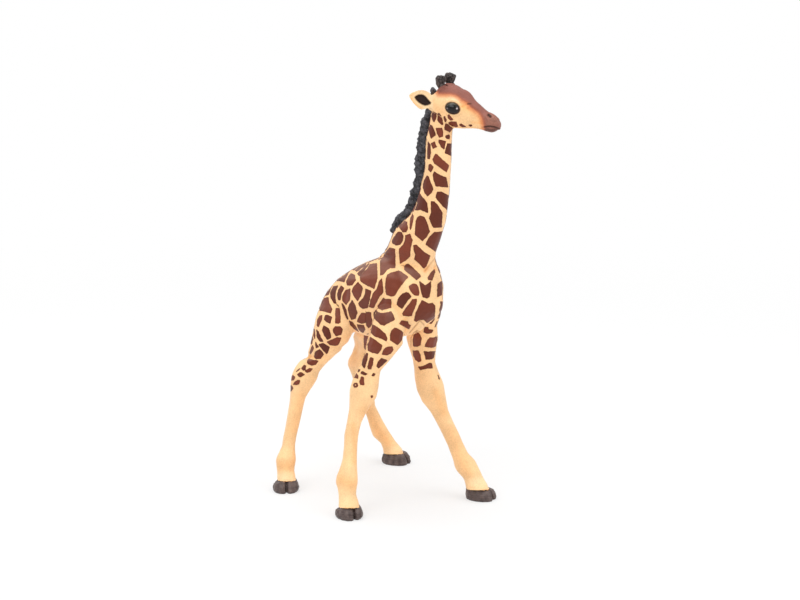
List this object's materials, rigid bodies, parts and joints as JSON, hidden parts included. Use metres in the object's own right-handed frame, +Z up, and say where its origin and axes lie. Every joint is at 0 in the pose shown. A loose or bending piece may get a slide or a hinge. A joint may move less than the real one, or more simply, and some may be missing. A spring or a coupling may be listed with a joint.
{
  "type": "toy giraffe calf figure",
  "caption": "Standing giraffe calf play figure with splayed legs, turned head, dark mane and cloven hooves.",
  "frame": {"origin": "middle of the figure's base, on the surface that it stands on", "axes": "+Z up, the animal walks towards -Y, its left side is +X"},
  "size_m": [0.0528, 0.069, 0.121],
  "materials": {
    "spotted_hide": "satin hand paint, red-brown patches on a cream ground",
    "plain_hide": "satin cream paint",
    "dark_hair": "matt near-black paint over moulded hair",
    "hoof_paint": "satin grey-brown paint",
    "eye_gloss": "gloss black"
  },
  "bodies": {
    "root": {"ear_left": "plain_hide", "ear_right": "plain_hide", "eye_left": "eye_gloss", "eye_right": "eye_gloss", "head": "spotted_hide", "hoof_front_left": "hoof_paint", "hoof_front_right": "hoof_paint", "hoof_hind_left": "hoof_paint", "hoof_hind_right": "hoof_paint", "leg_front_left": "spotted_hide", "leg_front_right": "spotted_hide", "leg_hind_left": "spotted_hide", "leg_hind_right": "spotted_hide", "mane": "dark_hair", "neck": "spotted_hide", "ossicone_left": "dark_hair", "ossicone_right": "dark_hair", "tail": "plain_hide", "tail_tuft": "dark_hair", "torso": "spotted_hide"}
  },
  "joints": []
}
